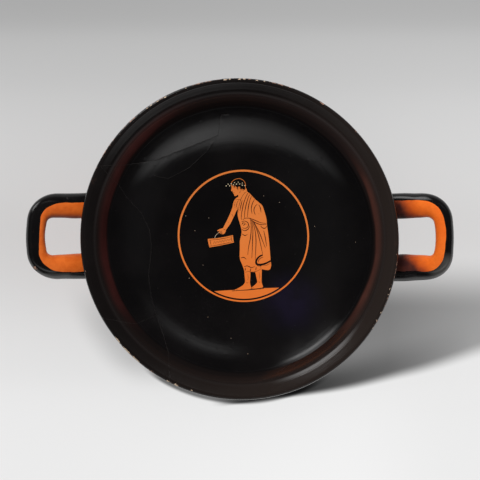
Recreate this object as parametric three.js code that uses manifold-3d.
// Greek kylix: a stemmed drinking cup of fired clay with an offset lip, two
// horizontal loop handles and a disc foot, thrown and luted together as one body.
// Millimetres, +Z up, handles along X, origin under the middle of the foot.
import * as THREE from 'three';
import { mergeVertices } from 'three/addons/utils/BufferGeometryUtils.js';
import Module from 'manifold-3d';

// ---- driving dimensions -------------------------------------------------------
const RIM_R = 95.0;            // outer radius of the rim
const HEIGHT = 74.0;           // foot underside to top of the rim
const RIM_WALL = 3.8;          // thickness of the rounded rim

const FLOOR_Z = 31.0;          // inside floor of the bowl, on the axis
const OFFSET_R = 81.0;         // inside radius where the bowl meets the lip
const OFFSET_Z = 60.0;         // height of that offset
const WALL = 4.2;              // wall of the bowl near the lip
const FLOOR_WALL = 6.2;        // wall of the bowl over the stem
const SHOULDER = 1.1;          // how far the outside of the bowl stands proud of the lip

const STEM_R = 11.2;           // waist of the stem
const STEM_TOP_R = 17.0;       // where the stem runs out into the bowl
const FILLET_R = 14.6;         // raised ring between the stem and the foot
const FOOT_R = 39.0;           // foot plate
const FOOT_EDGE = 8.6;         // thickness of its rounded edge
const FOOT_RISE = 11.4;        // top of the foot plate beside the fillet ring
const REST_IN = 27.0;          // the flat ring the cup stands on
const REST_OUT = 36.0;
const UNDER_STEP = 1.6;        // step up inside the resting ring
const UNDER_Z = 8.0;           // top of the dished hollow under the foot

const HANDLE_REACH = 127.3;    // axis of the cup to the outside of each handle
const HANDLE_START_R = 55.0;   // the arms begin inside the wall and the core trims them
const HANDLE_ROOT_Z = 49.0;    // height of their middle line where they leave the bowl
const HANDLE_BEND_R = [72, 112]; // level inside the first radius, full slope past the second
const HANDLE_SLOPE = 33.5;     // degrees above level at the outer bar
const HANDLE_SPAN = 36.8;      // arm to arm, middle to middle
const HANDLE_Y = 1.7;          // the pair sits a little off the middle
const ARM_W = 14.3;            // section of the arms, across and through the loop
const ARM_T = 11.6;
const BAR_W = 10.8;            // section of the outer bar
const BAR_T = 10.4;
const ROOT_SWELL = 0.14;       // how much the arms swell where they meet the bowl
const LIP_SLOPE = 34.8;        // degrees above level of the lip's inside, below the rim
// Each handle: radii of its two corners, then for its first and second arm and its
// corners how much fuller the half width is, and the outer bar's share of the same.
const RIGHT = { corners: [9.9, 8.4], arm: [0.10, 0.22], armRoot: [0.30, 0.75], out: [0.15, 0.35], outRoot: [0.10, -0.30], full: [0.90, 0.85], bar: [0.05, 0.12] };
const LEFT = { corners: [10.6, 10.8], arm: [0.14, 0.0], armRoot: [0.40, 0.66], out: [0.08, 0.0], outRoot: [0.0, -0.52], full: [0.75, 0.92], bar: [0.36, -0.50] };

const LATHE_SEGMENTS = 48;
const HANDLE_STEPS = 36;
const HANDLE_SIDES = 12;

const rad = THREE.MathUtils.degToRad;
const v2 = (x, y) => new THREE.Vector2(x, y);

// ---- profile of the thrown body -----------------------------------------------
// The bowl is an arc of a circle whose rise over its half width is known.
function bowlArc(floorZ, edgeR, edgeZ, steps, from = 0) {
  const rise = edgeZ - floorZ;
  const R = (edgeR * edgeR + rise * rise) / (2 * rise);
  const a1 = Math.asin(edgeR / R);
  const a0 = Math.asin(from / R);
  const pts = [];
  for (let i = 0; i <= steps; i++) {
    const a = a0 + ((a1 - a0) * i) / steps;
    pts.push(v2(R * Math.sin(a), floorZ + R * (1 - Math.cos(a))));
  }
  return pts;
}

// A rounded edge: part of an ellipse, from angle a0 to a1 in degrees.
function roundEdge(cx, cz, rx, rz, a0, a1, steps) {
  const pts = [];
  for (let i = 0; i <= steps; i++) {
    const a = rad(a0 + ((a1 - a0) * i) / steps);
    pts.push(v2(cx + rx * Math.cos(a), cz + rz * Math.sin(a)));
  }
  return pts;
}

function bezier(p0, p1, p2, p3, steps) {
  return new THREE.CubicBezierCurve(p0, p1, p2, p3).getPoints(steps);
}

function bodyProfile() {
  const half = RIM_WALL / 2;
  const outerR = OFFSET_R + WALL;                    // outside of the lip's root
  const shoulderR = outerR + SHOULDER;
  const outFloor = FLOOR_Z - FLOOR_WALL;
  const pts = [];

  // dished hollow under the foot, then the flat ring the cup stands on
  for (let i = 0; i <= 4; i++) {
    const t = i / 4;
    pts.push(v2(REST_IN * t, UNDER_STEP + (UNDER_Z - UNDER_STEP) * 0.5 * (1 + Math.cos(Math.PI * t))));
  }
  pts.push(v2(REST_IN + 0.6, 0), v2(REST_OUT, 0));

  // rounded edge of the foot and its gently rising top
  pts.push(...roundEdge(REST_OUT - 0.6, FOOT_EDGE / 2, FOOT_R - REST_OUT + 0.6, FOOT_EDGE / 2, -72, 84, 6));
  pts.push(...bezier(v2(REST_OUT - 3.0, FOOT_EDGE + 0.25), v2(REST_OUT - 10, FOOT_EDGE + 1.0),
    v2(FILLET_R + 6, FOOT_RISE - 0.6), v2(FILLET_R + 1.0, FOOT_RISE), 3));

  // fillet ring, stem, and the stem's flare into the underside of the bowl
  pts.push(...roundEdge(FILLET_R - 1.2, FOOT_RISE + 1.5, 1.2, 1.3, -50, 90, 3));
  const under = bowlArc(outFloor, shoulderR, OFFSET_Z - 1.8, 11, STEM_TOP_R);
  pts.push(...bezier(v2(STEM_R + 0.5, FOOT_RISE + 3.0), v2(STEM_R - 0.5, FOOT_RISE + 6.5),
    v2(STEM_R - 0.3, under[0].y - 2.4), under[0], 5));

  // outside of the bowl, the shoulder, and the hollow curve of the lip
  pts.push(...under.slice(1));
  pts.push(...bezier(v2(outerR, OFFSET_Z - 0.6), v2(outerR + 0.4, OFFSET_Z + 4.5),
    v2(RIM_R - 3.6, HEIGHT - 7.0), v2(RIM_R - 0.25, HEIGHT - half - 1.3), 5));

  // rounded rim
  pts.push(...roundEdge(RIM_R - half, HEIGHT - half, half, half, 0, 90 + LIP_SLOPE, 5));

  // inside: the lip's even slope, its turn down to the offset, and the bowl
  const lipTop = pts[pts.length - 1];
  const onLip = (r) => v2(r, lipTop.y - (lipTop.x - r) * Math.tan(rad(LIP_SLOPE)));
  pts.push(...bezier(onLip(RIM_R - RIM_WALL - 2.6), onLip(RIM_R - RIM_WALL - 7.3),
    v2(OFFSET_R + 1.2, OFFSET_Z + 3.2), v2(OFFSET_R - 0.22, OFFSET_Z + 0.05), 5));
  pts.push(...bowlArc(FLOOR_Z, OFFSET_R, OFFSET_Z - 0.9, 12).reverse());
  return pts.map((p) => v2(Math.max(p.x, 0), p.y));
}

// ---- closed solids ------------------------------------------------------------
const wasm = await Module();
wasm.setup();

// Merges a closed geometry's vertices, drops the flat triangles at the poles, and
// turns it face out.
function solid(geometry) {
  const g = geometry.clone();
  for (const name of Object.keys(g.attributes)) if (name !== 'position') g.deleteAttribute(name);
  const m = mergeVertices(g, 1e-4);
  const pos = m.getAttribute('position');
  const idx = m.getIndex().array;
  const tris = [];
  for (let i = 0; i < idx.length; i += 3) {
    const [a, b, c] = [idx[i], idx[i + 1], idx[i + 2]];
    if (a !== b && b !== c && c !== a) tris.push(a, b, c);
  }
  const p = (k) => new THREE.Vector3().fromBufferAttribute(pos, k);
  let volume = 0;
  for (let i = 0; i < tris.length; i += 3) volume += p(tris[i]).dot(p(tris[i + 1]).cross(p(tris[i + 2]))) / 6;
  if (volume < 0) for (let i = 0; i < tris.length; i += 3) [tris[i + 1], tris[i + 2]] = [tris[i + 2], tris[i + 1]];
  return new wasm.Manifold(new wasm.Mesh({
    numProp: 3,
    vertProperties: new Float32Array(pos.array),
    triVerts: new Uint32Array(tris),
  }));
}

function geometryOf(manifold) {
  const mesh = manifold.getMesh();
  const g = new THREE.BufferGeometry();
  const count = mesh.vertProperties.length / mesh.numProp;
  const xyz = new Float32Array(count * 3);
  for (let i = 0; i < count; i++) for (let k = 0; k < 3; k++) xyz[3 * i + k] = mesh.vertProperties[i * mesh.numProp + k];
  g.setAttribute('position', new THREE.BufferAttribute(xyz, 3));
  g.setIndex(new THREE.BufferAttribute(new Uint32Array(mesh.triVerts), 1));
  g.computeVertexNormals();
  return g;
}

function lathe(profile) {
  return new THREE.LatheGeometry(profile, LATHE_SEGMENTS).rotateX(Math.PI / 2);
}

// ---- handles ------------------------------------------------------------------
// Middle line of a handle seen from above: x is the distance from the cup's axis
// and y runs from arm to arm. The corners are rounded by cornerA and cornerB, and
// the outer bar bows out slightly.
function handlePlan(barR, cornerA, cornerB) {
  const s = HANDLE_SPAN / 2;
  const bow = 0.9;
  const k = 0.55;
  const path = new THREE.Path();
  path.moveTo(HANDLE_START_R, s);
  path.lineTo(barR - bow - cornerA, s);
  path.bezierCurveTo(barR - bow - cornerA * (1 - k), s, barR - bow, s - cornerA * (1 - k), barR - bow * 0.7, s - cornerA);
  path.quadraticCurveTo(barR + bow * 0.6, 0, barR - bow * 0.7, -s + cornerB);
  path.bezierCurveTo(barR - bow, -s + cornerB * (1 - k), barR - bow - cornerB * (1 - k), -s, barR - bow - cornerB, -s);
  path.lineTo(HANDLE_START_R, -s);
  return path;
}

// The arms leave the bowl level and bend up: slope (rise over run) and height of
// the loop at a distance r from the axis.
const bend = (r) => THREE.MathUtils.clamp((r - HANDLE_BEND_R[0]) / (HANDLE_BEND_R[1] - HANDLE_BEND_R[0]), 0, 1);
const endSlope = Math.tan(rad(HANDLE_SLOPE));
const loopSlope = (r) => endSlope * bend(r) ** 2 * (3 - 2 * bend(r));
const loopHeight = (r) => {
  const t = bend(r);
  const run = HANDLE_BEND_R[1] - HANDLE_BEND_R[0];
  return HANDLE_ROOT_Z + endSlope * (run * (t ** 3 - 0.5 * t ** 4) + Math.max(r - HANDLE_BEND_R[1], 0));
};

// Sweeps an oval section along the middle line. The section is widest in the arms,
// slimmer in the outer bar, and swells where the arms meet the bowl.
function handle(side, make) {
  const slope = rad(HANDLE_SLOPE);
  const barR = HANDLE_REACH - Math.hypot((BAR_W / 2) * Math.cos(slope), (BAR_T / 2) * Math.sin(slope));
  const mid = handlePlan(barR, ...make.corners).getSpacedPoints(HANDLE_STEPS);
  const xyz = [];
  for (let i = 0; i <= HANDLE_STEPS; i++) {
    const r = mid[i].x;
    const lean = Math.atan(loopSlope(r));
    const eu = new THREE.Vector3(side * Math.cos(lean), 0, Math.sin(lean));
    const ev = new THREE.Vector3(0, side, 0);
    const en = new THREE.Vector3(-side * Math.sin(lean), 0, Math.cos(lean));
    const step = mid[Math.min(i + 1, HANDLE_STEPS)].clone().sub(mid[Math.max(i - 1, 0)]);
    const along = v2(step.x / Math.cos(lean), step.y).normalize();
    // 0 in the arms, 1 in the outer bar
    const bar = THREE.MathUtils.smoothstep(r, barR - 14, barR - 1.5);
    const swell = 1 + ROOT_SWELL * Math.exp(-(Math.max(r - 80, 0) ** 2) / 60);
    // fuller arms and corners, and a small shift of each
    const k = mid[i].y > 0 ? 0 : 1;
    const off = Math.abs(mid[i].y);
    const onArm = THREE.MathUtils.smoothstep(off, 7, 16);
    const root = Math.exp(-(Math.max(r - 98.5, 0) ** 2) / 45);
    const knee = Math.hypot(r - (barR - 0.9 - 0.3 * make.corners[k]), off - (HANDLE_SPAN / 2 - 0.3 * make.corners[k]));
    const fuller = onArm * (make.arm[k] + make.armRoot[k] * root) + make.full[k] * Math.exp(-(knee ** 2) / 50) + make.bar[0] * (1 - onArm);
    const shiftX = side * make.bar[1] * (1 - onArm);
    const shiftY = side * (k === 0 ? 1 : -1) * onArm * (make.out[k] + make.outRoot[k] * root);
    const w = THREE.MathUtils.lerp(ARM_W, BAR_W, bar) * 0.5 * swell + fuller;
    const t = THREE.MathUtils.lerp(ARM_T, BAR_T, bar) * 0.5 * swell;
    for (let j = 0; j < HANDLE_SIDES; j++) {
      const q = (2 * Math.PI * j) / HANDLE_SIDES;
      const p = new THREE.Vector3(side * r + shiftX, HANDLE_Y + side * mid[i].y + shiftY, loopHeight(r))
        .addScaledVector(eu, -along.y * w * Math.cos(q))
        .addScaledVector(ev, along.x * w * Math.cos(q))
        .addScaledVector(en, t * Math.sin(q));
      xyz.push(p.x, p.y, p.z);
    }
  }
  const tris = [];
  const at = (i, j) => i * HANDLE_SIDES + (j % HANDLE_SIDES);
  for (let i = 0; i < HANDLE_STEPS; i++) {
    for (let j = 0; j < HANDLE_SIDES; j++) {
      tris.push(at(i, j), at(i + 1, j), at(i + 1, j + 1), at(i, j), at(i + 1, j + 1), at(i, j + 1));
    }
  }
  for (let j = 1; j < HANDLE_SIDES - 1; j++) {
    tris.push(at(0, 0), at(0, j), at(0, j + 1));
    tris.push(at(HANDLE_STEPS, 0), at(HANDLE_STEPS, j + 1), at(HANDLE_STEPS, j));
  }
  const g = new THREE.BufferGeometry();
  g.setAttribute('position', new THREE.Float32BufferAttribute(xyz, 3));
  g.setIndex(tris);
  return g;
}

// The arms stop inside the wall: this core is cut from them, and it reaches the
// middle of the bowl's wall.
function wallCore() {
  const mid = bowlArc(FLOOR_Z - FLOOR_WALL * 0.5, OFFSET_R + WALL * 0.5, OFFSET_Z - 1.2, 12);
  const pts = [...mid, v2(OFFSET_R + WALL * 0.5, HEIGHT + 20), v2(0, HEIGHT + 20)];
  return lathe(pts);
}

const core = solid(wallCore());
const body = solid(lathe(bodyProfile()));
const right = solid(handle(1, RIGHT)).subtract(core);
const left = solid(handle(-1, LEFT)).subtract(core);
const cup = body.add(right).add(left);

const glazedClay = new THREE.MeshStandardMaterial({ color: 0x141213, roughness: 0.22, metalness: 0.0 });
const kylix = new THREE.Mesh(geometryOf(cup), glazedClay);
kylix.name = 'kylix';

const group = new THREE.Group();
group.add(kylix);

export default group;
